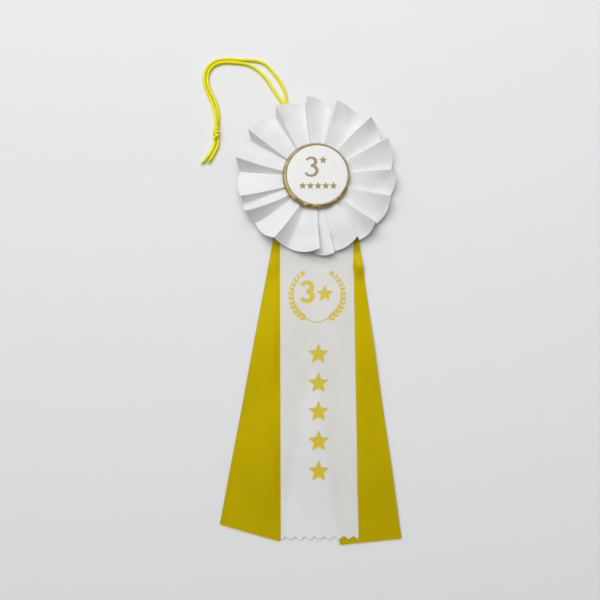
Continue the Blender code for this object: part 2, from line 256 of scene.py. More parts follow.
STAR_COLUMN_X = 1.2
STAR_COLUMN = (-120.7, -139.9, -158.6, -177.7, -196.9)
STAR_RADIUS = 7.2
STAR_WAIST = 0.46
BUTTON_NUMBER = (-3.5, 5.8, 14.8, 0.14)
BUTTON_SMALL_STAR = (4.7, 10.4, 2.9)
BUTTON_STAR_ROW_Y = -7.6
BUTTON_STAR_ROW = (-9.2, -4.0, 1.2, 6.4, 11.6)
BUTTON_STAR_RADIUS = 2.7
# The numeral's upper bowl as a share of its height, its widening and its pen's weights.
UPPER_BOWL = 0.19
NUMERAL_STRETCH = Vector((1.12, 1.0, 1.0))
PEN_THIN = 0.78
PEN_SWELL = 0.34
BOWL_STEPS = 22


# ---- small helpers -----------------------------------------------------------------


def mix(first, second, share):
    return first + (second - first) * share


def eased(share):
    share = min(max(share, 0.0), 1.0)
    return share * share * (3.0 - 2.0 * share)


def rising(value, start, full):
    """0 up to start and 1 from full on, with a soft slope between them."""
    return eased((value - start) / (full - start))


def polar(radius, degrees, height=0.0):
    turn = math.radians(degrees)
    return Vector((radius * math.cos(turn), radius * math.sin(turn), height))


def smooth_route(route, spacing):
    """Points about a spacing apart on a smooth curve through the route's own points."""
    ends = [route[0] * 2 - route[1]] + list(route) + [route[-1] * 2 - route[-2]]
    found = []
    for before, start, end, after in zip(ends, ends[1:], ends[2:], ends[3:]):
        steps = max(1, round((end - start).length / spacing))
        for k in range(steps):
            t = k / steps
            bend = (before * 2 - start * 5 + end * 4 - after) * t * t
            twist = (start * 3 - before - end * 3 + after) * t ** 3
            found.append((start * 2 + (end - before) * t + bend + twist) / 2)
    return found + [route[-1]]


def length_of(path):
    return sum((after - before).length for before, after in zip(path, path[1:]))


def in_metres(points):
    return [tuple(place * MM) for place in points]


# ---- meshes ------------------------------------------------------------------------


def mesh_piece(name, points, faces, corner_uvs, paint, sharp=180.0):
    """A smooth-shaded mesh from points in millimetres, with a UV for each face corner."""
    data = bpy.data.meshes.new(name)
    data.from_pydata(in_metres(points), [], faces)
    layer = data.uv_layers.new(name="UVMap")
    for corner, uv in zip(layer.data, corner_uvs):
        corner.uv = uv
    data.shade_smooth()
    if sharp < 180.0:
        data.set_sharp_from_angle(angle=math.radians(sharp))
    uses = Counter(key for face in data.polygons for key in face.edge_keys)
    for edge in data.edges:
        if uses[edge.key] == 1:
            edge.use_edge_sharp = True
    data.materials.append(paint)
    made = bpy.data.objects.new(name, data)
    bpy.context.scene.collection.objects.link(made)
    return made


def grid_piece(name, rows, paint, uv_at, closed=False, capped=(), sharp=180.0):
    """A mesh through rows of points. closed joins each row's ends; capped lists filled rows."""
    columns = len(rows[0])
    across = columns if closed else columns - 1
    faces = []
    corners = []
    for row in range(len(rows) - 1):
        for column in range(across):
            corner = [(row, column), (row, column + 1), (row + 1, column + 1), (row + 1, column)]
            faces.append([r * columns + c % columns for r, c in corner])
            corners.extend(corner)
    for row in capped:
        ring = [(row, column) for column in range(columns)]
        if row == 0:
            ring.reverse()
        faces.append([r * columns + c for r, c in ring])
        corners.extend(ring)
    points = [place for row in rows for place in row]
    uvs = [uv_at(row, column) for row, column in corners]
    return mesh_piece(name, points, faces, uvs, paint, sharp)


def thicken(made, thickness, offset):
    solid = made.modifiers.new("cloth_thickness", "SOLIDIFY")
    solid.thickness = thickness * MM
    solid.offset = offset
    return made


# ---- materials ---------------------------------------------------------------------


def node(tree, kind, inputs, **settings):
    """A new shader node. inputs gives a value or another node's output for each socket."""
    made = tree.nodes.new(kind)
    for setting, value in settings.items():
        setattr(made, setting, value)
    for socket, value in inputs.items():
        if isinstance(value, bpy.types.NodeSocket):
            tree.links.new(value, made.inputs[socket])
        else:
            made.inputs[socket].default_value = value
    return made


def plain_material(name, colour, roughness, sockets):
    made = bpy.data.materials.new(name)
    made.use_nodes = True
    shader = made.node_tree.nodes["Principled BSDF"]
    shader.inputs["Base Color"].default_value = (*colour, 1.0)
    shader.inputs["Roughness"].default_value = roughness
    for socket, value in sockets.items():
        shader.inputs[socket].default_value = value
    return made, made.node_tree, shader


def calculated(tree, operation, first, second=0.0):
    return node(tree, "ShaderNodeMath", {0: first, 1: second}, operation=operation).outputs[0]


def waves(tree, distance, spacing):
    return calculated(tree, "SINE", calculated(tree, "MULTIPLY", distance, 2 * math.pi / spacing))


def noise_from(tree, place, scale, detail):
    inputs = {"Vector": place, "Scale": scale, "Detail": detail}
    return node(tree, "ShaderNodeTexNoise", inputs).outputs["Fac"]


def stretched(tree, place, scale):
    return node(tree, "ShaderNodeMapping", {"Vector": place, "Scale": scale}).outputs["Vector"]


def between(tree, share, low, high):
    """A number or share mapped from low..high to 0..1."""
    inputs = {"Value": share, "From Min": low, "From Max": high}
    return node(tree, "ShaderNodeMapRange", inputs).outputs["Result"]


def colour_mix(tree, share, first, second):
    inputs = {"Fac": share, "Color1": (*first, 1.0), "Color2": (*second, 1.0)}
    return node(tree, "ShaderNodeMixRGB", inputs).outputs["Color"]


def shade(colour, factor):
    return tuple(min(1.0, part * factor) for part in colour)


def add_bump(tree, shader, height, distance, strength, under=None):
    """Bump by a height, on top of the bump under. The distance is in millimetres."""
    inputs = {"Height": height, "Distance": distance * MM, "Strength": strength}
    if under is not None:
        inputs["Normal"] = under
    made = node(tree, "ShaderNodeBump", inputs)
    tree.links.new(made.outputs["Normal"], shader.inputs["Normal"])
    return made.outputs["Normal"]


def set_colour(tree, shader, colour):
    tree.links.new(colour, shader.inputs["Base Color"])


def uv_of(tree):
    return node(tree, "ShaderNodeUVMap", {}, uv_map="UVMap").outputs["UV"]


def place_of(tree):
    return node(tree, "ShaderNodeTexCoord", {}).outputs["Object"]


def satin(name, colour, width, roughness=0.5, alpha=1.0, gloss=0.3, gloss_tint=(1.0, 1.0, 1.0), end_shade=0.0):
    """Woven ribbon: fine ribs across it, streaks along it, and a firm edge on each side.

    The UVs are millimetres of cloth: across the ribbon, then along it. A painted shade
    darkens the colour by the given share towards a streamer's cut end.
    """
    sockets = {
        "Alpha": alpha,
        "Specular IOR Level": gloss,
        "Specular Tint": (*gloss_tint, 1.0),
    }
    made, tree, shader = plain_material(name, colour, roughness, sockets)
    cloth = uv_of(tree)
    parts = node(tree, "ShaderNodeSeparateXYZ", {"Vector": cloth})
    across, along = parts.outputs["X"], parts.outputs["Y"]
    ribs = waves(tree, along, RIB_SPACING)
    weave = calculated(tree, "MULTIPLY", ribs, waves(tree, across, YARN_SPACING))
    streaks = noise_from(tree, stretched(tree, cloth, (2.6, 0.05, 1.0)), 1.0, 3.0)
    patches = noise_from(tree, stretched(tree, cloth, (0.05, 0.035, 1.0)), 1.0, 2.0)
    from_middle = calculated(tree, "ABSOLUTE", calculated(tree, "SUBTRACT", across, width / 2))
    edge = between(tree, from_middle, width / 2 - HEM_SETS_IN, width / 2 - HEM_FULL)
    tone = calculated(tree, "ADD", calculated(tree, "MULTIPLY", streaks, 0.45), patches)
    mapped = between(tree, tone, 0.45, 1.0)
    # Painted shade: the colour is darkened towards the cut end, standing in for shade there.
    towards_end = between(tree, along, *END_SHADE_OVER)
    unshaded = colour_mix(tree, mapped, shade(colour, 0.95), shade(colour, 1.04))
    shaded_end = colour_mix(tree, mapped, shade(colour, 0.95 - end_shade), shade(colour, 1.04 - end_shade))
    inputs = {"Fac": towards_end, "Color1": unshaded, "Color2": shaded_end}
    set_colour(tree, shader, node(tree, "ShaderNodeMixRGB", inputs).outputs["Color"])
    worn = between(tree, streaks, 0.2, 0.8)
    inputs = {"Value": worn, "To Min": roughness - 0.05, "To Max": roughness + 0.06}
    rough = node(tree, "ShaderNodeMapRange", inputs)
    tree.links.new(rough.outputs["Result"], shader.inputs["Roughness"])
    fine = add_bump(tree, shader, weave, 0.018, 0.6)
    bordered = add_bump(tree, shader, edge, 0.06, 0.5, fine)
    add_bump(tree, shader, streaks, 0.05, 0.35, bordered)
    return made


def cord_yarn():
    """Three-yarn cord: fine fibres along each yarn, and a yellow that varies at random between a deeper
    and a lighter tone.
    """
    light, deep = (1.0, 0.95, 0.03), (0.88, 0.80, 0.015)
    sockets = {
        "Sheen Weight": 0.25,
        "Sheen Roughness": 0.4,
        "Sheen Tint": (1.0, 0.95, 0.25, 1.0),
        "Specular IOR Level": 0.15,
    }
    made, tree, shader = plain_material("yellow_cord_yarn", light, 0.6, sockets)
    cloth = uv_of(tree)
    fibres = noise_from(tree, stretched(tree, cloth, (9.0, 0.9, 1.0)), 1.0, 3.0)
    patches = noise_from(tree, stretched(tree, cloth, (0.0, 0.12, 1.0)), 1.0, 1.0)
    tone = calculated(tree, "ADD", calculated(tree, "MULTIPLY", patches, 0.4), fibres)
    set_colour(tree, shader, colour_mix(tree, between(tree, tone, 0.45, 0.85), deep, light))
    add_bump(tree, shader, fibres, 0.12, 0.7)
    return made


def gold_foil():
    """Thin gold foil pressed over the rim: creased, with browner patches."""
    made, tree, shader = plain_material("gold_foil_rim", (0.45, 0.33, 0.14), 0.46, {"Metallic": 0.85})
    place = place_of(tree)
    creases = noise_from(tree, place, 900.0, 3.0)
    patches = noise_from(tree, place, 160.0, 2.0)
    brown, gold = (0.36, 0.27, 0.115), (0.47, 0.35, 0.165)
    set_colour(tree, shader, colour_mix(tree, between(tree, patches, 0.35, 0.65), brown, gold))
    add_bump(tree, shader, creases, 0.25, 0.5)
    return made


def button_card():
    """Coated white card: nearly smooth, with the faint mottle of paper under the coat."""
    colour = (0.77, 0.77, 0.76)
    sockets = {"Coat Weight": 0.25, "Coat Roughness": 0.25}
    made, tree, shader = plain_material("coated_card", colour, 0.45, sockets)
    place = place_of(tree)
    mottle = noise_from(tree, place, 350.0, 3.0)
    set_colour(tree, shader, colour_mix(tree, mottle, shade(colour, 0.97), shade(colour, 1.03)))
    add_bump(tree, shader, noise_from(tree, place, 2500.0, 2.0), 0.02, 0.5)
    return made


def ink(name, colour, metallic, roughness):
    """Stamped ink or foil: a raised print whose colour breaks up slightly over the weave."""
    made, tree, shader = plain_material(name, colour, roughness, {"Metallic": metallic})
    grain = noise_from(tree, uv_of(tree), 1.6, 3.0)
    broken = between(tree, grain, 0.3, 0.7)
    set_colour(tree, shader, colour_mix(tree, broken, shade(colour, 0.85), shade(colour, 1.12)))
    add_bump(tree, shader, grain, 0.05, 0.4)
    return made


def board():
    """Plain grey board with paper fibres."""
    colour = (0.42, 0.40, 0.36)
    made, tree, shader = plain_material("grey_board_fibre", colour, 0.9, {})
    place = place_of(tree)
    fibres = noise_from(tree, stretched(tree, place, (1400.0, 500.0, 500.0)), 1.0, 4.0)
    flecks = noise_from(tree, place, 1100.0, 2.0)
    tone = calculated(tree, "ADD", calculated(tree, "MULTIPLY", flecks, 0.5), fibres)
    mapped = between(tree, tone, 0.5, 1.0)
    set_colour(tree, shader, colour_mix(tree, mapped, shade(colour, 0.8), shade(colour, 1.15)))
    add_bump(tree, shader, fibres, 0.05, 0.6)
    return made


def staple_steel():
    """Bright drawn wire: streaks along it."""
    made, tree, shader = plain_material("staple_steel", (0.60, 0.60, 0.62), 0.28, {"Metallic": 1.0})
    scratches = noise_from(tree, stretched(tree, place_of(tree), (200.0, 5000.0, 5000.0)), 1.0, 3.0)
    set_colour(tree, shader, colour_mix(tree, scratches, (0.48, 0.48, 0.50), (0.70, 0.70, 0.71)))
    add_bump(tree, shader, scratches, 0.01, 0.5)
    return made


def hot_glue():
    """Cloudy hot-melt glue, a little see-through, with a rippled skin."""
    colour = (0.80, 0.76, 0.62)
    sockets = {"Transmission Weight": 0.25, "Subsurface Weight": 0.2, "Subsurface Scale": 0.002}
    made, tree, shader = plain_material("hot_melt_glue", colour, 0.3, sockets)
    cloud = noise_from(tree, place_of(tree), 260.0, 3.0)
    set_colour(tree, shader, colour_mix(tree, cloud, shade(colour, 0.9), shade(colour, 1.08)))
    add_bump(tree, shader, cloud, 0.3, 0.5)
    return made


def sewing_thread():
    """White thread with the slant of its twist."""
    colour = (0.82, 0.82, 0.80)
    made, tree, shader = plain_material("white_thread", colour, 0.7, {"Sheen Weight": 0.2})
    twist = noise_from(tree, stretched(tree, place_of(tree), (1800.0, 1800.0, 900.0)), 1.0, 2.0)
    set_colour(tree, shader, colour_mix(tree, twist, shade(colour, 0.8), shade(colour, 1.1)))
    add_bump(tree, shader, twist, 0.08, 0.8)
    return made


def table_paint():
    """Matt pale board with a barely visible grain."""
    colour = (0.80, 0.805, 0.81)
    made, tree, shader = plain_material("pale_table", colour, 0.85, {"Specular IOR Level": 0.2})
    grain = noise_from(tree, place_of(tree), 60.0, 3.0)
    set_colour(tree, shader, colour_mix(tree, grain, shade(colour, 0.99), shade(colour, 1.01)))
    add_bump(tree, shader, grain, 0.05, 0.2)
    return made


# ---- camera, light and table -------------------------------------------------------


def make_camera():
    data = bpy.data.cameras.new("camera")
    data.lens = CAMERA_LENS
    data.sensor_width = 36.0
    data.clip_start = 0.01
    data.clip_end = 20.0
    camera = bpy.data.objects.new("camera", data)
    camera.location = Vector(CAMERA_PLACE) * MM
    camera.rotation_euler = (math.radians(CAMERA_TILT), 0.0, 0.0)
    bpy.context.scene.collection.objects.link(camera)
    bpy.context.scene.camera = camera


def make_lamp(name, place, aim, size, power):
    """A rectangular area lamp, placed in metres."""
    data = bpy.data.lights.new(name, "AREA")
    data.shape = "RECTANGLE"
    data.size, data.size_y = size
    data.energy = power
    light = bpy.data.objects.new(name, data)
    light.location = place
    light.rotation_euler = (Vector(aim) - Vector(place)).to_track_quat("-Z", "Y").to_euler()
    bpy.context.scene.collection.objects.link(light)


def make_daylight(name, tilt, side, strength):
    """Even light from one side: tilt is its angle from straight down, side where it is from."""
    data = bpy.data.lights.new(name, "SUN")
    data.energy = strength
    data.angle = math.radians(DAYLIGHT_SPREAD)
    light = bpy.data.objects.new(name, data)
    light.rotation_euler = (0.0, math.radians(tilt), math.radians(side))
    bpy.context.scene.collection.objects.link(light)


def make_studio():
    """Pale surroundings, a wide lamp over the rosette's end, daylight, the table, and a dark
    screen that the glossy cloth reflects but the camera doesn't see."""
    world = bpy.data.worlds.new("studio")
    world.use_nodes = True
    surroundings = world.node_tree.nodes["Background"]
    surroundings.inputs["Color"].default_value = (0.985, 0.995, 1.0, 1.0)
    surroundings.inputs["Strength"].default_value = 0.36
    bpy.context.scene.world = world
    bpy.context.scene.view_settings.view_transform = "Standard"
    make_lamp("ceiling", (-0.15, 0.6, 1.15), aim=(0.0, -0.05, 0.0), size=(1.2, 1.0), power=8.8)
    make_daylight("daylight", tilt=33.0, side=140.0, strength=0.92)
    make_daylight("fill", tilt=28.0, side=275.0, strength=0.26)
    bpy.ops.mesh.primitive_plane_add(size=4.0, location=(0.0, 0.0, TABLE_HEIGHT * MM))
    table = bpy.context.object
    table.name = "table"
    table.data.materials.append(table_paint())
    bpy.ops.mesh.primitive_plane_add(size=1.0, location=(0.0, -0.6, 0.42))
    screen = bpy.context.object
    screen.name = "dark_screen"
    screen.rotation_euler.x = math.radians(90.0)
    screen.scale = (2.4, 0.7, 1.0)
    screen.visible_camera = False
    screen.data.materials.append(plain_material("dark_cloth", (0.02, 0.02, 0.02), 0.9, {})[0])


# ---- cord --------------------------------------------------------------------------


def lobed(turn):
    """Outline of three round yarns laid together, at a turn in degrees, for a radius of 1."""
    off_lobe = math.radians((turn + 60.0) % 120.0 - 60.0)
    out, yarn = 0.42, 0.58
    return out * math.cos(off_lobe) + math.sqrt(yarn ** 2 - (out * math.sin(off_lobe)) ** 2)


def cord_rings(path):
    """Rings of points along a path, turning with the lay of the yarns."""
    aside = (path[1] - path[0]).orthogonal().normalized()
    travelled = 0.0
    rings = []
    for k, place in enumerate(path):
        ahead = (path[min(k + 1, len(path) - 1)] - path[max(k - 1, 0)]).normalized()
        aside = (aside - ahead * aside.dot(ahead)).normalized()
        above = ahead.cross(aside)
        if k:
            travelled += (place - path[k - 1]).length
        twist = 360.0 * travelled / CORD_LAY
        ring = []
        for step in range(RING_POINTS):
            turn = 360.0 * step / RING_POINTS
            angle = math.radians(turn + twist)
            reach = CORD_DIAMETER / 2 * YARN_FULLNESS * lobed(turn)
            ring.append(place + (aside * math.cos(angle) + above * math.sin(angle)) * reach)
        rings.append(ring)
    return rings


def cord_piece(name, path, paint):
    rings = cord_rings(path)
    spacing = length_of(path) / (len(path) - 1)

    def uv_at(row, column):
        return (column / RING_POINTS, row * spacing)

    made = grid_piece(name, rings, paint, uv_at, closed=True, capped=(0, len(rings) - 1))
    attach(made, "rosette")
    return made


def paired_route(route, left_hand):
    """One strand of the pair: beside the route, and stacked on the other near the knot."""
    found = []
    for k, place in enumerate(route):
        before, after = route[max(k - 1, 0)], route[min(k + 1, len(route) - 1)]
        ahead = Vector((after[0] - before[0], after[1] - before[1], 0.0)).normalized()
        aside = Vector((-ahead.y, ahead.x, 0.0)) * (1.0 if left_hand else -1.0)
        to_knot = len(route) - 1 - k
        roll = PAIR_ROLLS[to_knot] if to_knot < len(PAIR_ROLLS) else 0.0
        lift = 0.0 if left_hand else PAIR_SPACING * math.sin(math.radians(roll))
        apart = PAIR_SPACING / 2 * math.cos(math.radians(roll))
        found.append(Vector((place[0], place[1], ON_TABLE + lift)) + aside * apart)
    return found


def knot_route(phase):
    """One strand's wraps round the knot, from the side of the loop to the side of the tails."""
    found = []
    for k in range(WRAP_POINTS + 1):
        share = k / WRAP_POINTS
        turn = math.radians(phase + 360.0 * KNOT_TURNS * share)
        swell = KNOT_RADIUS * mix(KNOT_END_SHARE, 1.0, math.sin(math.pi * share))
        along = KNOT_LENGTH * (0.5 - share)
        found.append(KNOT_CENTRE + Vector((swell * math.cos(turn), along, swell * math.sin(turn))))
    return found


def add_fray(name, cut_end, ahead, paint, chance):
    """Loose fibres at a cut end of the cord: thin curved threads that spread apart."""
    points, faces, uvs = [], [], []
    for _ in range(FRAY_FIBRES):
        start = cut_end + Vector([chance.uniform(-0.6, 0.6) for _ in range(3)])
        spread = Vector([chance.uniform(-1.0, 1.0) for _ in range(3)])
        spread.z = abs(spread.z) * 0.5
        reach = chance.uniform(1.0, 2.4)
        shares = (0.0, 0.35, 0.7, 1.0)
        fibre = [start + (ahead * reach + spread * share * 0.8) * share for share in shares]
        first = len(points)
        for place in fibre:
            place.z = max(place.z, FIBRE_LOWEST)
            for turn in (90.0, 210.0, 330.0):
                points.append(place + polar(FIBRE_RADIUS, turn))
        for row in range(len(fibre) - 1):
            for side in range(3):
                here = first + 3 * row + side
                beside = first + 3 * row + (side + 1) % 3
                faces.append((here, beside, beside + 3, here + 3))
                uvs.extend([(side, row)] * 4)
    made = mesh_piece(name, points, faces, uvs, paint)
    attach(made, "rosette")
    return made


def make_cord(paint):
    """The doubled cord: its stapled loop, two strands, the knot and two frayed tails."""
    bight = [Vector((x, y, BETWEEN_CARDS)) for x, y in CORD_BIGHT]
    loop = cord_piece("cord_loop", smooth_route(bight, CORD_STEP), paint)
    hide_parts("cord_bight")
    wraps = [
        cord_piece("cord_knot_wrap_a", smooth_route(knot_route(20.0), WRAP_STEP), paint),
        cord_piece("cord_knot_wrap_b", smooth_route(knot_route(200.0), WRAP_STEP), paint),
    ]
    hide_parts("cord_knot")
    chance = random.Random(SEED)
    tails = []
    for side, route in (("inner", INNER_TAIL), ("outer", OUTER_TAIL)):
        lying = [Vector((x, y, ON_TABLE)) for x, y in route]
        path = smooth_route([KNOT_CENTRE - INSIDE_KNOT] + lying, CORD_STEP)
        tail = cord_piece("cord_end_" + side, path, paint)
        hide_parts("cord_tail_" + side)
        ahead = (path[-1] - path[-2]).normalized()
        tails += [tail, add_fray("cord_fray_" + side, path[-1], ahead, paint, chance)]
    strands = (
        ("inner", INNER_LEAD, True, [loop]),
        ("outer", OUTER_LEAD, False, wraps + tails),
    )
    for side, lead, left_hand, pieces in strands:
        route = [Vector(place) for place in lead] + paired_route(PAIR_ROUTE, left_hand)
        path = smooth_route(route + [KNOT_CENTRE + INSIDE_KNOT], CORD_STEP)
        strand = cord_piece("cord_run_" + side, path, paint)
        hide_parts("cord_strand_" + side)
        length_of(path) * MM
        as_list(pieces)


# ---- streamers ---------------------------------------------------------------------


def ripple(x, behind):
    """How far the lying ribbons stand off the table, the same for all three layers."""
    wave = WAVE_HEIGHT * (1.0 - math.cos(2 * math.pi * (behind - WAVES_FROM) / WAVE_LENGTH))
    slack = SLACK_HEIGHT * (1.0 + noise.noise(Vector((x / 34.0, behind / 46.0, 3.0))))
    curl = CURL_HEIGHT * rising(behind, *CURL_SETS_IN) * rising(-x, *CURL_ACROSS)
    return rising(behind, *WAVES_SET_IN) * (wave + slack) + curl


def side_wave(x, behind):
    """Extra waves where a yellow streamer shows beside the white one."""
    crest = CREST_HEIGHTS["right" if x > 0.0 else "left"]
    crest *= math.exp(-((behind - CREST_AT) / CREST_WIDTH) ** 2)
    swell = SWELL_HEIGHT * (1.0 + math.cos(2 * math.pi * (behind - SWELL_AT) / SWELL_LENGTH))
    return rising(abs(x), *SHOWN_BESIDE) * (crest + swell * rising(behind, *SWELL_SETS_IN))


def streamer_height(name, x, y):
    streamer = STREAMERS[name]
    behind = -y
    own = 0.0 if name == "centre" else side_wave(x, behind)
    fallen = rising(behind, CARD_EDGE, LANDED)
    return mix(streamer.held, streamer.resting, fallen) + ripple(x, behind) + own


def streamer_axes(name):
    """Unit vectors along a streamer, away from the rosette, and across it."""
    heading = math.radians(STREAMERS[name].heading)
    along = Vector((math.sin(heading), -math.cos(heading), 0.0))
    across = Vector((math.cos(heading), math.sin(heading), 0.0))
    return along, across


def streamer_rows(name):
    """Rows of points from the cut end back to the cards, each from left to right."""
    streamer = STREAMERS[name]
    along, across = streamer_axes(name)
    columns = COLUMNS_PER_NOTCH * streamer.notches if streamer.notches else STREAMER_COLUMNS
    count = round((streamer.left - STREAMER_START) / STREAMER_STEP)
    rows = []
    for row in range(count, -1, -1):
        share = row / count
        points = []
        for column in range(columns + 1):
            end = mix(streamer.left, streamer.right, column / columns)
            if streamer.notches:
                from_tip = 1.0 - abs(1.0 - column % COLUMNS_PER_NOTCH / (COLUMNS_PER_NOTCH / 2))
                end -= NOTCH_DEPTH * from_tip * rising(share, NOTCHED_FROM, 1.0)
            distance = mix(STREAMER_START, end, share)
            place = Vector((streamer.foot, 0.0, 0.0)) + along * distance
            place += across * (column / columns - 0.5) * streamer.width
            place.z = streamer_height(name, place.x, place.y)
            points.append(place)
        rows.append(points)
    return rows


def bend_with_tail(made, name):
    """Looks up the streamer's hinge and bakes the piece's placement into its mesh."""
    hinge = next(joint for joint in frame["joints"] if joint["child"] == name + "_tail")
    centre = Vector(hinge["pos_m"])
    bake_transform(made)


def make_streamer(name, paint):
    streamer = STREAMERS[name]
    rows = streamer_rows(name)
    columns = len(rows[0]) - 1

    def uv_at(row, column):
        return (column / columns * streamer.width, (len(rows) - 1 - row) * STREAMER_STEP)

    made = grid_piece(name + "_streamer", rows, paint, uv_at)
    thicken(made, RIBBON_THICKNESS, -1.0)
    bend_with_tail(made, name)
    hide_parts(name + "_streamer_top", name + "_streamer_tail")


# ---- prints ------------------------------------------------------------------------


def star(x, y, radius):
    """A five-pointed star, as one outline."""
    outline = []
    for k in range(10):
        reach = radius if k % 2 == 0 else radius * STAR_WAIST
        outline.append(Vector((x, y, 0.0)) + polar(reach, 90.0 + 36.0 * k))
    return [outline]


def leaf(place, heading, size):
    """A pointed leaf from its stalk, as one outline."""
    tip = polar(LEAF_LENGTH * size, heading)
    side = polar(LEAF_WIDTH * size / 2, heading + 90.0)
    shares = (0.18, 0.42, 0.7)
    swells = (0.62, 1.0, 0.66)
    right = [place + tip * share - side * swell for share, swell in zip(shares, swells)]
    left = [place + tip * share + side * swell for share, swell in zip(shares, swells)]
    return [[place] + right + [place + tip] + left[::-1]]


def stroke(route, widths):
    """A pen stroke along a route, as a strip of four-sided outlines."""
    edges = []
    for k, place in enumerate(route):
        ahead = (route[min(k + 1, len(route) - 1)] - route[max(k - 1, 0)]).normalized()
        aside = Vector((-ahead.y, ahead.x, 0.0)) * widths[k] / 2
        edges.append((place - aside, place + aside))
    return [[a[0], b[0], b[1], a[1]] for a, b in zip(edges, edges[1:])]


def numeral_three(x, y, height, weight):
    """A plain round numeral: two bowls, heavier on their right sides, with flat ends."""
    pen = height * weight
    upper = height * UPPER_BOWL
    lower = (height - pen) / 2 - upper
    bowls = (
        (upper, (height - pen) / 2 - upper, 158.0, -92.0),
        (lower, lower - (height - pen) / 2, 92.0, -158.0),
    )
    shapes = []
    for radius, rise, start, end in bowls:
        centre = Vector((x, y + rise, 0.0))
        turns = [mix(start, end, k / BOWL_STEPS) for k in range(BOWL_STEPS + 1)]
        rightward = [max(0.0, math.cos(math.radians(turn))) for turn in turns]
        widths = [pen * (PEN_THIN + PEN_SWELL * share) for share in rightward]
        bowl = [centre + polar(radius, turn) * NUMERAL_STRETCH for turn in turns]
        shapes += stroke(bowl, widths)
    return shapes


def wreath_point(hand, turn):
    """A point on the right-hand (1) or left-hand (-1) branch, by its turn above level."""
    away = polar(1.0, turn)
    return Vector((
        WREATH_CENTRE[0] + hand * WREATH_HALF_WIDTH * away.x,
        WREATH_CENTRE[1] + WREATH_HALF_HEIGHT * away.y,
        0.0,
    ))


def wreath():
    """Two laurel branches that rise from the bottom, joined there by a thin stalk."""
    shapes = []
    for hand in (1.0, -1.0):
        for k in range(LEAF_PAIRS):
            turn = mix(*LEAF_TURNS, k / (LEAF_PAIRS - 1))
            size = mix(*LEAF_SIZES, k / (LEAF_PAIRS - 1))
            for lean in LEAF_LEANS:
                heading = turn + 90.0 + lean
                heading = heading if hand > 0.0 else 180.0 - heading
                shapes += leaf(wreath_point(hand, turn), heading, size)
        tip = wreath_point(hand, END_LEAF_TURN)
        shapes += leaf(tip, 90.0 + hand * END_LEAF_LEAN, END_LEAF_SIZE)
    stalk = []
    for k in range(STALK_STEPS + 1):
        turn = mix(*STALK_TURNS, k / STALK_STEPS)
        sag = STALK_SAG * eased(1.0 - abs(turn + 90.0) / STALK_SAG_OVER)
        stalk.append(wreath_point(1.0, turn) - Vector((0.0, sag, 0.0)))
    return shapes + stroke(stalk, [STALK_WIDTH] * len(stalk))


def print_piece(name, shapes, height_at, paint):
    """Outlines laid just above a surface, and thickened. The UVs are millimetres."""
    points, faces, uvs = [], [], []
    for shape in shapes:
        first = len(points)
        for place in shape:
            height = height_at(place.x, place.y) + INK_LIFT
            points.append(Vector((place.x, place.y, height)))
            uvs.append((place.x, place.y))
        faces.append(list(range(first, len(points))))
    return thicken(mesh_piece(name, points, faces, uvs, paint), INK_THICKNESS, -1.0)


def make_streamer_print(paint):
    shapes = wreath() + numeral_three(*STREAMER_NUMBER) + star(*STREAMER_SMALL_STAR)
    for y in STAR_COLUMN:
        shapes += star(STAR_COLUMN_X, y, STAR_RADIUS)

    def height_at(x, y):
        return streamer_height("centre", x, y)

    made = print_piece("streamer_print", shapes, height_at, paint)
    bend_with_tail(made, "centre")
    return made


# ---- rosette -----------------------------------------------------------------------


def pleat_folds(share):
    """(direction, radius, height) of each raised fold and its underfold, at a share of the
    way from the thread to the rim."""
    found = []
    floor = mix(PLEAT_FLOOR_INSIDE, PLEAT_FLOOR_RIM, rising(share, PAST_CARD, 1.0))
    under = mix(PLEAT_INSIDE, UNDERFOLD_RIM, share)
    for outer, inner, opened, top, reach in PLEATS:
        direction = mix(inner, outer, share)
        raised = mix(PLEAT_TOP_INSIDE, top, share ** 1.1)
        found.append((direction, mix(PLEAT_INSIDE, reach, share), raised))
        tucked = PLEAT_TUCK * eased(1.0 - share / UNDER_BUTTON)
        sideways = opened * share ** 0.8 - tucked
        found.append((direction + math.degrees(sideways / under), under, floor))
    return found


def pleat_ring(share):
    """Points round the ring at one distance out: panels up to folds, returns under them."""
    folds = pleat_folds(share)
    last = folds[-1]
    start = (last[0] - 360.0, last[1], last[2])
    ring = []
    for k in range(0, len(folds), 2):
        ridge, under = folds[k], folds[k + 1]
        for step in range(PANEL_STEPS):
            t = step / PANEL_STEPS
            place = [mix(a, b, t) for a, b in zip(start, ridge)]
            place[1] += PANEL_BOW * math.sin(math.pi * t) * share ** 2
            place[2] = mix(start[2], ridge[2], t ** (1.0 + PANEL_HOLLOW * share))
            place[2] += PANEL_CROWN * math.sin(math.pi * t) * share
            ring.append(place)
        for step in range(RETURN_STEPS):
            t = step / RETURN_STEPS
            place = [mix(a, b, t) for a, b in zip(ridge, under)]
            place[2] -= RETURN_HOLLOW * math.sin(math.pi * t) * share
            ring.append(place)
        start = under
    ring.append(list(last))
    return ring


def softened(place, share):
    """The small unevenness of handled ribbon, growing towards the rim."""
    uneven = 0.0
    for (height, size), layer in ((SOFT_UNEVENNESS, 7.0), (FINE_UNEVENNESS, 19.0)):
        uneven += height * noise.noise(Vector((place.x / size, place.y / size, layer)))
    place.z += share * share * uneven
    return place


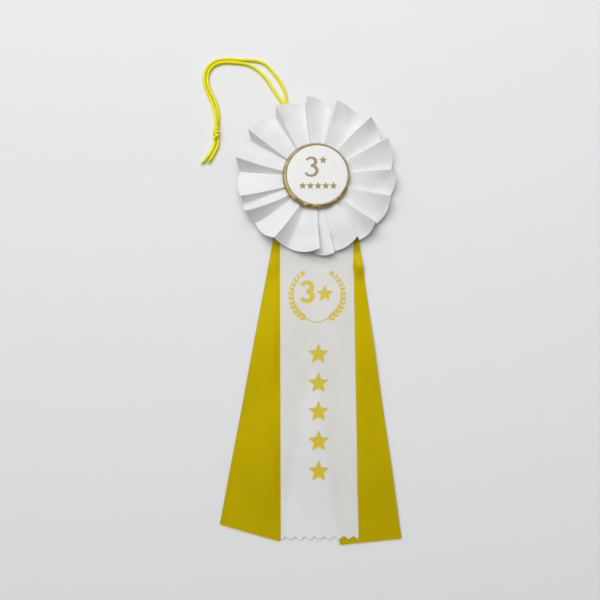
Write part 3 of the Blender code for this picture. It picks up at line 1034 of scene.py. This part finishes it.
def make_pleats(paint):
    rings = []
    for step in range(PLEAT_STEPS_OUT + 1):
        share = step / PLEAT_STEPS_OUT
        ring = pleat_ring(share)
        rings.append([softened(polar(r, direction, z), share) for direction, r, z in ring])
    rows = [list(row) for row in zip(*rings)]
    rim = [row[-1] for row in rows]
    travelled = [0.0]
    for before, after in zip(rim, rim[1:]):
        travelled.append(travelled[-1] + (after - before).length)
    width = PLEAT_RIM - PLEAT_INSIDE
    # The lengths round the rings, whose folds are shallow inside.
    rounds = [length_of([row[column] for row in rows]) for column in range(PLEAT_STEPS_OUT + 1)]

    def uv_at(row, column):
        return (column / PLEAT_STEPS_OUT * width, travelled[row])

    made = grid_piece("rosette_pleats", rows, paint, uv_at, sharp=SHARP_FOLD)
    thicken(made, PLEAT_THICKNESS, 0.0)
    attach(made, "rosette")
    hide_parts("pleated_rosette")


def lip_radius(degrees):
    """Distance from the button's centre to the edge of the printed card, which is off centre."""
    away = polar(1.0, degrees)
    centre = Vector((*CARD_CENTRE, 0.0))
    along = away.dot(centre)
    return along + math.sqrt(along ** 2 + CARD_RADIUS ** 2 - centre.length_squared)


def rim_profile(degrees):
    """The foil's section at one direction, from under its outer edge over to the card."""
    lip = lip_radius(degrees)
    crest = mix(lip, BUTTON_RADIUS, 0.42)
    profile = [
        (21.9, 7.85), (22.5, 7.95), (BUTTON_RADIUS, 8.6), (BUTTON_RADIUS, 9.4), (22.5, 10.15),
        (crest, 10.8), (mix(lip, crest, 0.35), 10.65), (lip, 10.38), (lip + 0.1, 10.25),
    ]
    corners = [Vector((radius, height, 0.0)) for radius, height in profile]
    return smooth_route(corners, RIM_POINT_SPACING)


def make_rim(paint):
    """Foil rim: smooth at the top, creased and bumpy at the bottom and lower right."""
    directions = [360.0 * k / RIM_STEPS for k in range(RIM_STEPS)]
    sections = [rim_profile(direction) for direction in directions]
    count = min(len(section) for section in sections)
    least, more = CREASES
    rows = []
    for k in range(count):
        row = []
        for direction, section in zip(directions, sections):
            point = section[round(k * (len(section) - 1) / (count - 1))]
            facing = math.cos(math.radians(direction - CREASED_SIDE))
            creased = least + more * rising(facing, -0.25, 0.75)
            around = polar(9.0, direction)
            bump = noise.noise(Vector((around.x, around.y, point.x * 0.8))) * creased
            bump *= rising(k, 0, 4) * rising(count - 1 - k, 0, 3)
            row.append(polar(point.x + bump * CREASE_OUT, direction, point.y + bump * CREASE_UP))
        rows.append(row)

    def uv_at(row, column):
        return (column / RIM_STEPS, row / count)

    made = grid_piece("button_foil_rim", rows, paint, uv_at, closed=True)
    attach(made, "rosette")
    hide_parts("button_rim")


def card_height(x, y):
    away = math.hypot(x - CARD_CENTRE[0], y - CARD_CENTRE[1])
    return CARD_TOP + CARD_CROWN * (1.0 - (away / CARD_RADIUS) ** 2)


def make_button_card(paint, print_paint):
    """The printed card, slightly crowned, tucked under the rim's lip, and its print."""
    rows = []
    for radius in CARD_RINGS:
        ring = []
        for k in range(CARD_STEPS):
            place = Vector((*CARD_CENTRE, 0.0)) + polar(radius, 360.0 * k / CARD_STEPS)
            place.z = card_height(place.x, place.y)
            ring.append(place)
        rows.append(ring)

    def uv_at(row, column):
        return (column / CARD_STEPS, row / len(rows))

    card = grid_piece("button_printed_card", rows, paint, uv_at, closed=True, capped=(len(rows) - 1,))
    thicken(card, CARD_THICKNESS, -1.0)
    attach(card, "rosette")
    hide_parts("button_face")
    shapes = numeral_three(*BUTTON_NUMBER) + star(*BUTTON_SMALL_STAR)
    for x in BUTTON_STAR_ROW:
        shapes += star(x, BUTTON_STAR_ROW_Y, BUTTON_STAR_RADIUS)
    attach(print_piece("button_print", shapes, card_height, print_paint), "rosette")


# ---- everything --------------------------------------------------------------------


def repaint(paint, *names):
    for name in names:
        frame["nodes"][name].material_slots[0].material = paint


def main():
    make_camera()
    make_cord(cord_yarn())
    make_studio()
    yellow = satin(
        "yellow_satin_ribbon",
        (0.495, 0.37, 0.001),
        STREAMERS["left"].width,
        roughness=0.34,
        gloss=0.8,
        gloss_tint=(1.0, 0.82, 0.02),
        # The yellow satin gets a painted shade towards its cut ends.
        end_shade=0.05,
    )
    make_streamer("left", yellow)
    make_streamer("right", yellow)
    stamped = make_streamer_print(ink("streamer_gold_ink", (0.68, 0.51, 0.02), 0.0, 0.4))
    white = satin("white_satin_streamer", (0.97, 0.98, 0.97), STREAMERS["centre"].width, alpha=0.57)
    make_streamer("centre", white)
    make_pleats(satin("white_satin_pleats", (0.79, 0.80, 0.80), PLEAT_WEAVE_WIDTH))
    make_rim(gold_foil())
    make_button_card(button_card(), ink("button_gold_ink", (0.24, 0.19, 0.08), 0.3, 0.4))
    repaint(board(), "back_card", "base_card", "button_core", "button_back")
    repaint(staple_steel(), "streamer_staple", "cord_staple")
    repaint(hot_glue(), "button_glue", "card_glue_left", "card_glue_right")
    repaint(sewing_thread(), "gathering_thread")


main()
